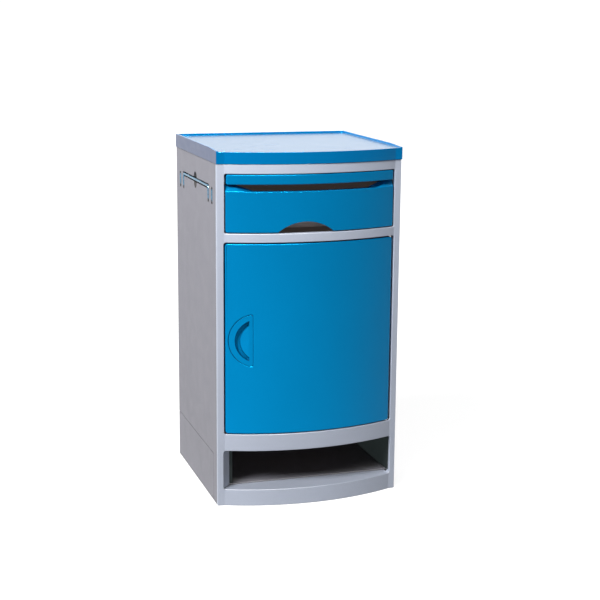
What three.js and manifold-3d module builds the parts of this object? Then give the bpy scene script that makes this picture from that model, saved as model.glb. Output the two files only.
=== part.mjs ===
// A hospital bedside cabinet of moulded plastic: a bowed front with a pull-out board, a drawer, a door
// and an open shoe bay, under a rimmed top, with a folding towel rail let into each side.
import * as THREE from "three";
import { mergeVertices } from "three/addons/utils/BufferGeometryUtils.js";
import Module from "manifold-3d";

const wasm = await Module();
wasm.setup();

// Driving dimensions in millimetres. X runs across, Y from the front to the back, Z up from the floor.
const WIDTH = 406;
const DEPTH = 410;
const HEIGHT = 760;
const GAP = 0.3; // between pieces that touch
const SHEET = 4; // wall of the large mouldings
const PAST = 1; // how far a cutter runs past the face it cuts

// The front is an arc between two flat posts, whose outer corners lie a little further back.
const BOW_HALF = 186.5;
const BOW_RISE = 35.65;
const POST_TURN = 2.35;
const BOW_STEPS = 24;
const BOW_RADIUS = (BOW_HALF ** 2 + BOW_RISE ** 2) / (2 * BOW_RISE);
const BOW_CENTRE_Y = BOW_RADIUS - DEPTH / 2;
const CORNER_Y = BOW_RISE + POST_TURN - DEPTH / 2;
const BACK_Y = DEPTH / 2;

// The top moulding
const TOP_UNDER = 730.8;
const TOP_DECK = 755.3;
const TOP_WALL = 3.5;
const RIM = 5;
const RIM_CORNER = 8;
const RIM_SLOPE = 20;

// The body under it
const BODY_INSET = 1.5;
const BODY_SIDE = WIDTH / 2 - BODY_INSET;
const BODY_BACK = BACK_Y - BODY_INSET;
const BODY_TOP = TOP_UNDER - GAP;
const INNER_SIDE = BODY_SIDE - SHEET;

// The front frame and its three openings
const RAIL_INSET = 15.5; // depth of the back of the rails behind the bow
const SIDE_RETURN = 10;
const FRAME_BACK = CORNER_Y + SIDE_RETURN;
const UPPER = { half: 186, bottom: 588, top: 711, corner: 4 };
const DOORWAY = { half: 187.5, bottom: 158.5, top: 569.5, corner: 5 };
const BAY = { half: 189, bottom: 36, top: 122, corner: 6 };
const LEDGE_BACK = CORNER_Y + 25;
const BAY_RETURN = { x: 171, thickness: 3.5, rootX: BAY.half + 3, rootY: CORNER_Y + 3 };

// The base moulding and the shoe bay
const BASE_TOP = 105;
const BASE_FRONT = CORNER_Y + 38;
const BAY_FLOOR = 38;
const BASE_LIP = { width: 6, thickness: 3 };
const BAY_WALL = { left: -168.5, right: BAY.half + GAP, thickness: 5.5 };

// Panels inside
const FLANGE = { inner: 187.5, front: 189, bottom: 150, top: 725 };
const PLATE_BACK = FLANGE.front - GAP;
const PLATE_FRONT_INSET = 16;
const CUPBOARD_FLOOR = 150;
const DECK = 576;
const SHELF = { top: 366, thickness: 6, front: -140 };
const LEDGE_STRIP = { inner: 181, height: 14, thickness: 3 };

// The folding towel rail: a bent rod with turned-up ends, seen from the side
const ROD = { radius: 2.3, sides: 10, bend: 5, bendSteps: 4, depth: 0.9, pivotDepth: 4.2, dip: 4.5 };
const RAIL = { centreY: 20.5, outer: 145.25, inner: 114, pivotZ: 649.5, barZ: 677.5, tipZ: 674 };
const GROOVE = { half: 5.2, depth: 7.3, bottom: 644.3, top: 682.7, outerTop: 679 };
const BEND_SHARE = 0.45; // the most of a straight that one bend may take
const SKIN = 1.2;
const BAND = { bottom: 634, top: 708, half: 160, inner: 187.5 };
const FINGER = { y: 22.5, z: 677, halfWidth: 15.5, halfHeight: 17.75, depth: 11 };
const CLIP_HALF_HEIGHT = 6.5;

// The drawer and the board above it
const DRAWER = { half: 183.5, bottom: 590, top: 688, face: 2.5, skin: 4 };
const BEVEL = { foot: 674.5, topInset: 14, back: 22, bottom: 668 };
const SCOOP = { frontFoot: 149, backFoot: 123, tip: 172 };
const ARCH = { x: -19.5, half: 59.4, rise: 21.5 };
const LIP = 3;
const RIB = { x: 100, half: 2, bottom: 600, top: 660 };
const TUB = { half: 174, front: -160, back: 185, bottom: 594, top: 667.5, wall: 3, flange: 3 };
const BOARD = { half: 183.7, back: 190, bottom: 692, top: 700 };
const STRIP = { half: 182, bottom: 689, top: 709.5, face: 1.5, back: 13.5 };
const RUNNER = { inner: 176, wall: 184.2, outer: 187.2, lip: 3, front: -144, back: 188, play: 0.5 };

// The door, its pull, hinge pins and magnetic catch
const DOOR = { left: -184.5, right: 183.5, bottom: 160, top: 567, face: 2.5, back: 16.5, skin: 4 };
const DOOR_CORNER = 6;
const DOOR_EDGE = 3;
const STILE = 12;
const PIN = { x: 178.5, behindFace: 5, radius: 3, inDoor: 10, inRail: 8.5 };
const PIN_Y = bowY(PIN.x, DOOR.face) + PIN.behindFace;
const PIN_HOLE = PIN.radius + GAP;
const PULL = { x: -122, z: 362.3, radius: 56.5, flat: -129.4, back: 12.5 };
const DISH = { x: -119.3, z: 361.5, radius: 46.7, flat: -137, back: 10.5 };
const CATCH = { left: -172, right: -148, bottom: 553, inset: 20, back: -136 };
const STRIKE = { left: -170, right: -150, bottom: 548, top: 562, thickness: 2 };

// Screws that hold the back panel
const SCREW = { x: 192.5, heights: [180, 420, 660], shank: 1.8, head: 4, length: 8, sides: 12 };

const MATERIALS = {
  blue: { color: 0x0b84c4, roughness: 0.25, metalness: 0 },
  pale: { color: 0xbcc5d8, roughness: 0.4, metalness: 0 },
  grey: { color: 0xa9aab4, roughness: 0.55, metalness: 0 },
  inner: { color: 0x8f939c, roughness: 0.6, metalness: 0 },
  steel: { color: 0x9fb4c4, roughness: 0.25, metalness: 1 },
};

// Outlines

const point = (x, y) => new THREE.Vector2(x, y);

function arc(centreX, centreY, radius, from, to, steps) {
  const points = [];
  for (let i = 0; i <= steps; i++) {
    const angle = from + ((to - from) * i) / steps;
    points.push(point(centreX + radius * Math.cos(angle), centreY + radius * Math.sin(angle)));
  }
  return points;
}

function oval(centreX, centreY, radiusX, radiusY, steps) {
  const points = [];
  for (let i = 0; i < steps; i++) {
    const angle = (2 * Math.PI * i) / steps;
    points.push(point(centreX + radiusX * Math.cos(angle), centreY + radiusY * Math.sin(angle)));
  }
  return points;
}

function roundedRectangle(left, right, bottom, top, corner) {
  const quarter = Math.PI / 2;
  const steps = 4;
  return [
    ...arc(right - corner, top - corner, corner, 0, quarter, steps),
    ...arc(left + corner, top - corner, corner, quarter, 2 * quarter, steps),
    ...arc(left + corner, bottom + corner, corner, 2 * quarter, 3 * quarter, steps),
    ...arc(right - corner, bottom + corner, corner, 3 * quarter, 4 * quarter, steps),
  ];
}

function bowY(x, inset) {
  return BOW_CENTRE_Y - Math.sqrt((BOW_RADIUS - inset) ** 2 - x ** 2);
}

// The bow from one side to the other, moved in by an inset
function bowArc(fromX, toX, inset) {
  const radius = BOW_RADIUS - inset;
  const angleAt = (x) => Math.asin(x / radius) - Math.PI / 2;
  return arc(0, BOW_CENTRE_Y, radius, angleAt(fromX), angleAt(toX), BOW_STEPS);
}

// The cabinet's outline from above, moved in by an inset
function footprint(inset) {
  const side = WIDTH / 2 - inset;
  return [
    point(-side, CORNER_Y + inset),
    ...bowArc(-BOW_HALF, BOW_HALF, inset),
    point(side, CORNER_Y + inset),
    point(side, BACK_Y - inset),
    point(-side, BACK_Y - inset),
  ];
}

// A circle's segment to the left of an upright line
function leftSegment(centreX, centreZ, radius, flatX) {
  const half = Math.acos((centreX - flatX) / radius);
  return arc(centreX, centreZ, radius, Math.PI - half, Math.PI + half, 20);
}

// Solids

function solidOf(geometry) {
  geometry.deleteAttribute("normal");
  geometry.deleteAttribute("uv");
  const merged = mergeVertices(geometry, 1e-4);
  const mesh = new wasm.Mesh({
    numProp: 3,
    vertProperties: merged.attributes.position.array,
    triVerts: new Uint32Array(merged.index.array),
  });
  return new wasm.Manifold(mesh);
}

const X_AXIS = new THREE.Vector3(1, 0, 0);
const Y_AXIS = new THREE.Vector3(0, 1, 0);
const Z_AXIS = new THREE.Vector3(0, 0, 1);
const UPRIGHT = new THREE.Matrix4().makeBasis(X_AXIS, Z_AXIS, Y_AXIS.clone().negate());
const SIDEWAYS = new THREE.Matrix4().makeBasis(Y_AXIS, Z_AXIS, X_AXIS);

function extruded(outline, depth) {
  return new THREE.ExtrudeGeometry(new THREE.Shape(outline), { depth, bevelEnabled: false });
}

// An outline in XY, drawn out along Z
function alongZ(outline, bottom, top) {
  return solidOf(extruded(outline, top - bottom).translate(0, 0, bottom));
}

// An outline in XZ, drawn out along Y
function alongY(outline, front, back) {
  return solidOf(extruded(outline, back - front).translate(0, 0, -back).applyMatrix4(UPRIGHT));
}

// An outline in YZ, drawn out along X
function alongX(outline, left, right) {
  return solidOf(extruded(outline, right - left).translate(0, 0, left).applyMatrix4(SIDEWAYS));
}

function block(left, right, front, back, bottom, top) {
  const geometry = new THREE.BoxGeometry(right - left, back - front, top - bottom);
  return solidOf(geometry.translate((left + right) / 2, (front + back) / 2, (bottom + top) / 2));
}

// A slab that follows the bow between two insets
function bowSlab(left, right, outer, inner, bottom, top) {
  return alongZ([...bowArc(left, right, outer), ...bowArc(right, left, inner)], bottom, top);
}

// A bowed slab whose front face leans back from one inset at the bottom to another at the top
function bowBevel(left, right, outer, outerTop, inner, bottom, top) {
  const outline = [...bowArc(left, right, outer), ...bowArc(right, left, inner)];
  const geometry = extruded(outline, top - bottom).translate(0, 0, bottom);
  const position = geometry.attributes.position;
  for (let i = 0; i < position.count; i++) {
    const x = position.getX(i);
    const onFace = Math.abs(position.getY(i) - bowY(x, outer)) < GAP;
    if (onFace && position.getZ(i) > (bottom + top) / 2) position.setY(i, bowY(x, outerTop));
  }
  return solidOf(geometry);
}

// A round rod along a line of points, no stretch of which runs along X
function rodAlong(points) {
  const { radius, sides } = ROD;
  const last = points.length - 1;
  const corners = [];
  const faces = [];
  points.forEach((centre, i) => {
    const ahead = points[Math.min(i + 1, last)].clone().sub(points[Math.max(i - 1, 0)]).normalize();
    const outward = X_AXIS.clone().addScaledVector(ahead, -ahead.x).normalize();
    const sideways = ahead.clone().cross(outward);
    for (const { x, y } of oval(0, 0, radius, radius, sides)) {
      const corner = centre.clone().addScaledVector(outward, x).addScaledVector(sideways, y);
      corners.push(...corner.toArray());
    }
  });
  for (let i = 0; i < last; i++) {
    for (let j = 0; j < sides; j++) {
      const a = i * sides + j;
      const b = i * sides + ((j + 1) % sides);
      faces.push(a, b, b + sides, a, b + sides, a + sides);
    }
  }
  for (let j = 1; j < sides - 1; j++) {
    const end = last * sides;
    faces.push(0, j + 1, j, end, end + j, end + j + 1);
  }
  const geometry = new THREE.BufferGeometry();
  geometry.setAttribute("position", new THREE.Float32BufferAttribute(corners, 3));
  geometry.setIndex(faces);
  return solidOf(geometry);
}

// The carcass

function topShell() {
  const side = WIDTH / 2 - RIM;
  const back = BACK_Y - RIM;
  const recess = [
    point(-side, -DEPTH),
    point(side, -DEPTH),
    ...arc(side - RIM_CORNER, back - RIM_CORNER, RIM_CORNER, 0, Math.PI / 2, 5),
    ...arc(RIM_CORNER - side, back - RIM_CORNER, RIM_CORNER, Math.PI / 2, Math.PI, 5),
  ];
  const slope = [
    point(-DEPTH, TOP_DECK),
    point(CORNER_Y, TOP_DECK),
    point(CORNER_Y + RIM_SLOPE, HEIGHT),
    point(CORNER_Y + RIM_SLOPE, HEIGHT + PAST),
    point(-DEPTH, HEIGHT + PAST),
  ];
  return alongZ(footprint(0), TOP_UNDER, HEIGHT)
    .subtract(alongZ(recess, TOP_DECK, HEIGHT + PAST))
    .subtract(alongX(slope, -WIDTH, WIDTH))
    .subtract(alongZ(footprint(TOP_WALL), TOP_UNDER - PAST, TOP_DECK - TOP_WALL));
}

// The slanted wall between the left post and the bay
function bayReturn() {
  const { x, thickness, rootX, rootY } = BAY_RETURN;
  const outline = [
    point(-rootX, rootY),
    point(-x, LEDGE_BACK - thickness),
    point(-x, LEDGE_BACK),
    point(-rootX, rootY + thickness),
  ];
  return alongZ(outline, BAY.bottom - SHEET, BAY.top + PAST);
}

function pinHole(bottom, top) {
  return alongZ(oval(PIN.x, PIN_Y, PIN_HOLE, PIN_HOLE, 16), bottom, top);
}

function opening({ half, bottom, top, corner }) {
  return alongY(roundedRectangle(-half, half, bottom, top, corner), -DEPTH, 0);
}

function frontFrame() {
  const behind = [
    ...bowArc(-BAY.half, BAY.half, RAIL_INSET),
    point(BAY.half, 0),
    point(-BAY.half, 0),
  ];
  const ledge = [
    ...bowArc(-BOW_HALF, BOW_HALF, RAIL_INSET - SHEET),
    point(BOW_HALF, LEDGE_BACK),
    point(-BOW_HALF, LEDGE_BACK),
  ];
  return alongZ(footprint(BODY_INSET), 0, BODY_TOP)
    .subtract(block(-WIDTH, WIDTH, FRAME_BACK, DEPTH, -PAST, HEIGHT))
    .subtract(alongZ(behind, -PAST, HEIGHT))
    .subtract(opening(UPPER))
    .subtract(opening(DOORWAY))
    .subtract(opening(BAY))
    .add(alongZ(ledge, BAY.bottom - SHEET, BAY.bottom))
    .add(bayReturn())
    .subtract(pinHole(DOORWAY.bottom - PIN.inRail - GAP, DOORWAY.bottom + PAST))
    .subtract(pinHole(DOORWAY.top - PAST, DOORWAY.top + PIN.inRail + GAP));
}

// The grooves and hollows of one side panel, on the left side
function railGrooves() {
  const face = -BODY_SIDE - PAST;
  const floor = -BODY_SIDE + GROOVE.depth;
  const fold = (y, half, bottom, top, left, right) =>
    block(left, right, RAIL.centreY + y - half, RAIL.centreY + y + half, bottom, top);
  const oneEnd = (sign) => {
    const middle = (sign * (RAIL.inner + RAIL.outer)) / 2;
    const clipHalf = (RAIL.outer - RAIL.inner) / 2;
    const reach = clipHalf + GROOVE.half;
    const clipRoom = clipHalf + GAP;
    const tunnelTop = RAIL.pivotZ + GROOVE.half;
    const skinBack = -BODY_SIDE + SKIN;
    return fold(sign * RAIL.outer, GROOVE.half, GROOVE.bottom, GROOVE.outerTop, face, floor)
      .add(fold(sign * RAIL.inner, GROOVE.half, GROOVE.bottom, GROOVE.top, face, floor))
      .add(fold(middle, reach, GROOVE.bottom, tunnelTop, skinBack, floor + PAST))
      .add(fold(middle, clipRoom, RAIL.pivotZ - CLIP_HALF_HEIGHT, RAIL.pivotZ + CLIP_HALF_HEIGHT, floor, 0));
  };
  const bar = fold(0, RAIL.inner, RAIL.barZ - GROOVE.half, GROOVE.top, face, floor);
  const finger = oval(FINGER.y, FINGER.z, FINGER.halfWidth, FINGER.halfHeight, 24);
  return bar
    .add(oneEnd(-1))
    .add(oneEnd(1))
    .add(alongX(finger, face, -BODY_SIDE + FINGER.depth));
}

function screwHoles(depth) {
  const radius = SCREW.shank + GAP;
  return [-SCREW.x, SCREW.x]
    .flatMap((x) => SCREW.heights.map((z) => oval(x, z, radius, radius, SCREW.sides)))
    .map((outline) => alongY(outline, BODY_BACK - depth, BACK_Y + PAST))
    .reduce((all, hole) => all.add(hole));
}

function sidePanel() {
  const front = FRAME_BACK + GAP;
  const outline = [
    point(front, 0),
    point(BASE_FRONT, 0),
    point(BASE_FRONT, BASE_TOP + GAP),
    point(BODY_BACK, BASE_TOP + GAP),
    point(BODY_BACK, BODY_TOP),
    point(front, BODY_TOP),
  ];
  const bandFront = RAIL.centreY - BAND.half;
  const bandBack = RAIL.centreY + BAND.half;
  const flangeBack = BODY_BACK - SHEET - GAP;
  return alongX(outline, -BODY_SIDE, -INNER_SIDE)
    .add(block(-BODY_SIDE, -BAND.inner, bandFront, bandBack, BAND.bottom, BAND.top))
    .add(block(-BODY_SIDE, -FLANGE.inner, FLANGE.front, flangeBack, FLANGE.bottom, FLANGE.top))
    .subtract(railGrooves())
    .subtract(screwHoles(SCREW.length + SHEET));
}

// Three walls with a lip inside them that carries the bay's floor
function baseMoulding() {
  const lipTop = BAY_FLOOR - SHEET - GAP;
  const inside = (margin, bottom, top) =>
    block(
      margin - INNER_SIDE,
      INNER_SIDE - margin,
      BASE_FRONT - PAST,
      BODY_BACK - SHEET - margin,
      bottom,
      top,
    );
  return block(-BODY_SIDE, BODY_SIDE, BASE_FRONT + GAP, BODY_BACK, 0, BASE_TOP)
    .subtract(inside(0, -PAST, lipTop - BASE_LIP.thickness))
    .subtract(inside(0, lipTop, HEIGHT))
    .subtract(inside(BASE_LIP.width, -PAST, HEIGHT));
}

function bayFloor() {
  const side = INNER_SIDE - GAP;
  const back = BODY_BACK - SHEET - GAP;
  return block(-side, side, LEDGE_BACK + GAP, back, BAY_FLOOR - SHEET, BAY_FLOOR);
}

function bayWall(left, front) {
  const back = BODY_BACK - SHEET - GAP;
  const top = CUPBOARD_FLOOR - SHEET - GAP;
  return block(left, left + BAY_WALL.thickness, front, back, BAY_FLOOR + GAP, top);
}

function backPanel() {
  const side = INNER_SIDE - GAP;
  return block(-side, side, BODY_BACK - SHEET, BODY_BACK, BASE_TOP + GAP, BODY_TOP).subtract(
    screwHoles(SHEET + PAST),
  );
}

// A plate across the cabinet whose front edge follows the bow behind the rails
function crossPlate(top) {
  const side = INNER_SIDE - GAP;
  const front = FRAME_BACK + GAP;
  const outline = [
    point(-side, front),
    ...bowArc(-UPPER.half, UPPER.half, PLATE_FRONT_INSET),
    point(side, front),
    point(side, PLATE_BACK),
    point(-side, PLATE_BACK),
  ];
  return alongZ(outline, top - SHEET, top);
}

function cupboardShelf() {
  const side = INNER_SIDE - GAP;
  return block(-side, side, SHELF.front, PLATE_BACK, SHELF.top - SHELF.thickness, SHELF.top);
}

// An angle strip under the shelf, on the left side
function shelfLedge() {
  const { inner, height, thickness } = LEDGE_STRIP;
  const top = SHELF.top - SHELF.thickness - GAP;
  const outer = INNER_SIDE - GAP;
  return block(-outer, -inner, SHELF.front, PLATE_BACK, top - thickness, top).add(
    block(-outer, thickness - outer, SHELF.front, PLATE_BACK, top - height, top),
  );
}

// A channel that holds an edge lying between two heights, on the left side
function runner(edgeBottom, edgeTop) {
  const { inner, wall, outer, lip, front, back, play } = RUNNER;
  const bottom = edgeBottom - play;
  const top = edgeTop + play;
  return block(-outer, -inner, front, back, bottom - lip, top + lip).subtract(
    block(-wall, PAST - inner, front - PAST, back + PAST, bottom, top),
  );
}

function railClip(sign) {
  const middle = RAIL.centreY + (sign * (RAIL.inner + RAIL.outer)) / 2;
  const half = (RAIL.outer - RAIL.inner) / 2;
  const low = RAIL.pivotZ - CLIP_HALF_HEIGHT + GAP;
  const high = RAIL.pivotZ + CLIP_HALF_HEIGHT - GAP;
  const front = -BODY_SIDE + GROOVE.depth + GAP;
  return block(front, -BAND.inner, middle - half, middle + half, low, high);
}

// The rod's ends dip behind the panel's skin, where the rail turns about them
function towelRail() {
  const { centreY, outer, inner, pivotZ, barZ, tipZ } = RAIL;
  const { depth, pivotDepth, dip } = ROD;
  const corners = [
    [depth, -outer, tipZ],
    [depth, -outer, pivotZ + dip],
    [pivotDepth, -outer, pivotZ],
    [pivotDepth, -inner, pivotZ],
    [depth, -inner, pivotZ + dip],
    [depth, -inner, barZ],
    [depth, inner, barZ],
    [depth, inner, pivotZ + dip],
    [pivotDepth, inner, pivotZ],
    [pivotDepth, outer, pivotZ],
    [depth, outer, pivotZ + dip],
    [depth, outer, tipZ],
  ].map(([x, y, z]) => new THREE.Vector3(x - BODY_SIDE, centreY + y, z));
  const last = corners.length - 1;
  const towards = (from, to, distance) =>
    from.clone().add(to.clone().sub(from).setLength(distance));
  const path = corners.flatMap((corner, i) => {
    if (i === 0 || i === last) return [corner];
    const [before, after] = [corners[i - 1], corners[i + 1]];
    const shorter = Math.min(corner.distanceTo(before), corner.distanceTo(after));
    const bend = Math.min(ROD.bend, BEND_SHARE * shorter);
    const start = towards(corner, before, bend);
    const end = towards(corner, after, bend);
    return new THREE.QuadraticBezierCurve3(start, corner, end).getPoints(ROD.bendSteps);
  });
  return rodAlong(path);
}

// A pan-head screw through the back panel
function backScrew(x, z) {
  const shank = oval(x, z, SCREW.shank, SCREW.shank, SCREW.sides);
  const head = oval(x, z, SCREW.head, SCREW.head, SCREW.sides);
  const seat = BODY_BACK + GAP;
  return alongY(shank, BODY_BACK - SCREW.length, BACK_Y).add(alongY(head, seat, BACK_Y));
}

// The drawer

// The hand hollow along the top of the drawer's front: its end walls close in towards the foot and the back
function scoop() {
  const front = new THREE.Vector3(SCOOP.frontFoot, bowY(SCOOP.frontFoot, DRAWER.face), BEVEL.foot);
  const back = new THREE.Vector3(SCOOP.backFoot, bowY(SCOOP.backFoot, BEVEL.back), BEVEL.foot);
  const tip = new THREE.Vector3(SCOOP.tip, bowY(SCOOP.tip, BEVEL.topInset), DRAWER.top);
  const perDepth = (back.x - front.x) / (back.y - front.y);
  const perHeight = (tip.x - front.x - perDepth * (tip.y - front.y)) / (tip.z - front.z);
  const height = DRAWER.top + PAST - BEVEL.foot;
  const geometry = new THREE.BoxGeometry(2, DEPTH / 4, height);
  geometry.translate(0, TUB.front - DEPTH / 16, BEVEL.foot + height / 2);
  const position = geometry.attributes.position;
  for (let i = 0; i < position.count; i++) {
    const half =
      front.x +
      perDepth * (position.getY(i) - front.y) +
      perHeight * (position.getZ(i) - front.z);
    position.setX(i, Math.sign(position.getX(i)) * half);
  }
  return solidOf(geometry);
}

function drawerFront() {
  const { half, bottom, top, face, skin } = DRAWER;
  const archRadius = (ARCH.half ** 2 + ARCH.rise ** 2) / (2 * ARCH.rise);
  const archAngle = Math.asin(ARCH.half / archRadius);
  const archCentre = bottom + ARCH.rise - archRadius;
  const arch = [
    point(ARCH.x + ARCH.half, bottom - PAST),
    ...arc(ARCH.x, archCentre, archRadius, Math.PI / 2 - archAngle, Math.PI / 2 + archAngle, 16),
    point(ARCH.x - ARCH.half, bottom - PAST),
  ];
  const ribs = [-RIB.x, RIB.x].map((x) =>
    block(x - RIB.half, x + RIB.half, bowY(x, face + skin / 2), TUB.front - GAP, RIB.bottom, RIB.top),
  );
  return bowSlab(-half, half, face, face + skin, bottom, BEVEL.foot)
    .add(bowSlab(-half, half, face, BEVEL.back, BEVEL.bottom, BEVEL.foot))
    .add(bowBevel(-half, half, face, BEVEL.topInset, BEVEL.back, BEVEL.foot, top))
    .add(bowSlab(-half, half, face, BEVEL.topInset, bottom, bottom + LIP))
    .add(ribs[0])
    .add(ribs[1])
    .subtract(scoop())
    .subtract(alongY(arch, -DEPTH, 0));
}

function drawerTub() {
  const { half, front, back, bottom, top, wall, flange } = TUB;
  const inside = half - wall;
  const flangeFront = front + 2 * wall;
  return block(-half, half, front, back, bottom, top)
    .add(block(-DRAWER.half, DRAWER.half, flangeFront, back, top - flange, top))
    .subtract(block(-inside, inside, front + wall, back - wall, bottom + wall, HEIGHT));
}

// The pull-out board

function boardFront() {
  const { half, bottom, top, face, back } = STRIP;
  return bowSlab(-half, half, face, back, bottom, top);
}

function board() {
  const { half, back, bottom, top } = BOARD;
  const outline = [
    ...bowArc(-half, half, STRIP.back + GAP),
    point(half, back),
    point(-half, back),
  ];
  return alongZ(outline, bottom, top);
}

// The door

function doorSkin() {
  const { left, right, bottom, top, face, back, skin } = DOOR;
  const outline = roundedRectangle(left, right, bottom, top, DOOR_CORNER);
  const hollow = bowSlab(
    left + DOOR_EDGE,
    right - STILE,
    face + skin,
    back + PAST,
    bottom + DOOR_EDGE,
    top - DOOR_EDGE,
  );
  const pullHole = leftSegment(PULL.x, PULL.z, PULL.radius, PULL.flat);
  return bowSlab(left, right, face, back, bottom, top)
    .intersect(alongY(outline, -DEPTH, 0))
    .subtract(hollow)
    .subtract(alongY(pullHole, -DEPTH, 0))
    .subtract(pinHole(bottom - PAST, bottom + PIN.inDoor))
    .subtract(pinHole(top - PIN.inDoor, top + PAST));
}

function doorLiner() {
  const { left, right, bottom, top, back } = DOOR;
  const edge = DOOR_EDGE + GAP;
  return bowSlab(left + edge, right - STILE - GAP, back - DOOR_EDGE, back, bottom + edge, top - edge);
}

function doorPull() {
  const radius = PULL.radius - GAP;
  const outline = leftSegment(PULL.x, PULL.z, radius, PULL.flat - GAP);
  const dish = leftSegment(DISH.x, DISH.z, DISH.radius, DISH.flat);
  const slab = (inner) =>
    bowSlab(PULL.x - PULL.radius, PULL.flat, DOOR.face, inner, DOOR.bottom, DOOR.top);
  const dishSolid = alongY(dish, -DEPTH, 0).intersect(
    bowSlab(PULL.x - PULL.radius, PULL.flat, -PAST, DISH.back, DOOR.bottom, DOOR.top),
  );
  return slab(PULL.back).intersect(alongY(outline, -DEPTH, 0)).subtract(dishSolid);
}

function hingePin(bottom, top) {
  return alongZ(oval(PIN.x, PIN_Y, PIN.radius, PIN.radius, 16), bottom, top);
}

function doorCatch() {
  const { left, right, bottom, inset, back } = CATCH;
  const outline = [...bowArc(left, right, inset), point(right, back), point(left, back)];
  return alongZ(outline, bottom, DECK - SHEET - GAP);
}

function catchStrike() {
  const inset = DOOR.back + GAP;
  const { left, right, bottom, top, thickness } = STRIKE;
  return bowSlab(left, right, inset, inset + thickness, bottom, top);
}

// The assembly

const cabinet = new THREE.Group();

function place(name, solid, material, mirrored = false) {
  const { vertProperties, triVerts } = solid.getMesh();
  const geometry = new THREE.BufferGeometry();
  geometry.setAttribute("position", new THREE.BufferAttribute(vertProperties, 3));
  geometry.setIndex(new THREE.BufferAttribute(triVerts, 1));
  geometry.computeVertexNormals();
  const mesh = new THREE.Mesh(geometry, new THREE.MeshStandardMaterial(MATERIALS[material]));
  mesh.name = name;
  if (mirrored) mesh.scale.x = -1;
  cabinet.add(mesh);
}

// A piece made on the left side, and its mirror image on the right
function placePair(name, solid, material) {
  place(`${name}_left`, solid, material);
  place(`${name}_right`, solid, material, true);
}

place("top_shell", topShell(), "blue");
place("front_frame", frontFrame(), "pale");
placePair("side_panel", sidePanel(), "grey");
place("base_moulding", baseMoulding(), "grey");
place("back_panel", backPanel(), "grey");
place("bay_floor", bayFloor(), "grey");
place("bay_wall_left", bayWall(BAY_WALL.left, LEDGE_BACK + 2), "inner");
place("bay_wall_right", bayWall(BAY_WALL.right, FRAME_BACK + GAP), "inner");
place("cupboard_floor", crossPlate(CUPBOARD_FLOOR), "inner");
place("drawer_deck", crossPlate(DECK), "inner");
place("cupboard_shelf", cupboardShelf(), "inner");
placePair("shelf_ledge", shelfLedge(), "inner");
placePair("drawer_runner", runner(TUB.top - TUB.flange, TUB.top), "inner");
placePair("board_runner", runner(BOARD.bottom, BOARD.top), "inner");
placePair("rail_clip_front", railClip(-1), "inner");
placePair("rail_clip_back", railClip(1), "inner");
placePair("towel_rail", towelRail(), "steel");
place("drawer_front", drawerFront(), "blue");
place("drawer_tub", drawerTub(), "inner");
place("board", board(), "grey");
place("board_front", boardFront(), "blue");
place("door_skin", doorSkin(), "blue");
place("door_liner", doorLiner(), "inner");
place("door_pull", doorPull(), "blue");
place("door_catch", doorCatch(), "inner");
place("catch_strike", catchStrike(), "steel");
place("hinge_pin_bottom", hingePin(DOORWAY.bottom - PIN.inRail, DOOR.bottom + PIN.inDoor - GAP), "steel");
place("hinge_pin_top", hingePin(DOOR.top - PIN.inDoor + GAP, DOORWAY.top + PIN.inRail), "steel");
SCREW.heights.forEach((z, i) => {
  place(`back_screw_left_${i + 1}`, backScrew(-SCREW.x, z), "steel");
  place(`back_screw_right_${i + 1}`, backScrew(SCREW.x, z), "steel");
});

export default cabinet;
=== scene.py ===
import math

import bmesh
import bpy
from mathutils import Matrix, Vector


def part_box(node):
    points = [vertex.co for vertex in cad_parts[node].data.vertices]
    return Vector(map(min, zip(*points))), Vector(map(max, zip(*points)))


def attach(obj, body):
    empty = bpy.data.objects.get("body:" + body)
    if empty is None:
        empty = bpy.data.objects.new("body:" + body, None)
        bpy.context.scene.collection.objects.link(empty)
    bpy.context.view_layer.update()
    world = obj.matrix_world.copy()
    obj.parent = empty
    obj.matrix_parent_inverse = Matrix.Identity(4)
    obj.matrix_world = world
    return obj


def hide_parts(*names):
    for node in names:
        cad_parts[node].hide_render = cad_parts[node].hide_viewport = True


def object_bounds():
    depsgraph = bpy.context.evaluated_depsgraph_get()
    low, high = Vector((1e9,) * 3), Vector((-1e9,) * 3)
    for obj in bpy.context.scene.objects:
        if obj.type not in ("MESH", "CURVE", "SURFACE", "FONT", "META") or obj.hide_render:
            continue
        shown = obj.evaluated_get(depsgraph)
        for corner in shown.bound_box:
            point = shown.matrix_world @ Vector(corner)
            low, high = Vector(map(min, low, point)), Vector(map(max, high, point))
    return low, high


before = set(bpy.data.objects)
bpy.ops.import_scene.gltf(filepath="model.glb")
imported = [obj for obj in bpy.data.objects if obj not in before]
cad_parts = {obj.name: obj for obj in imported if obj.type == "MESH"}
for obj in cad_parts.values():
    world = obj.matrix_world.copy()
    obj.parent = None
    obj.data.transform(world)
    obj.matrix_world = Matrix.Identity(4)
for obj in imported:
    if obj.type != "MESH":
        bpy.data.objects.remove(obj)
CAD_BOX = [list(corner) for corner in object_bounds()]

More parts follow.
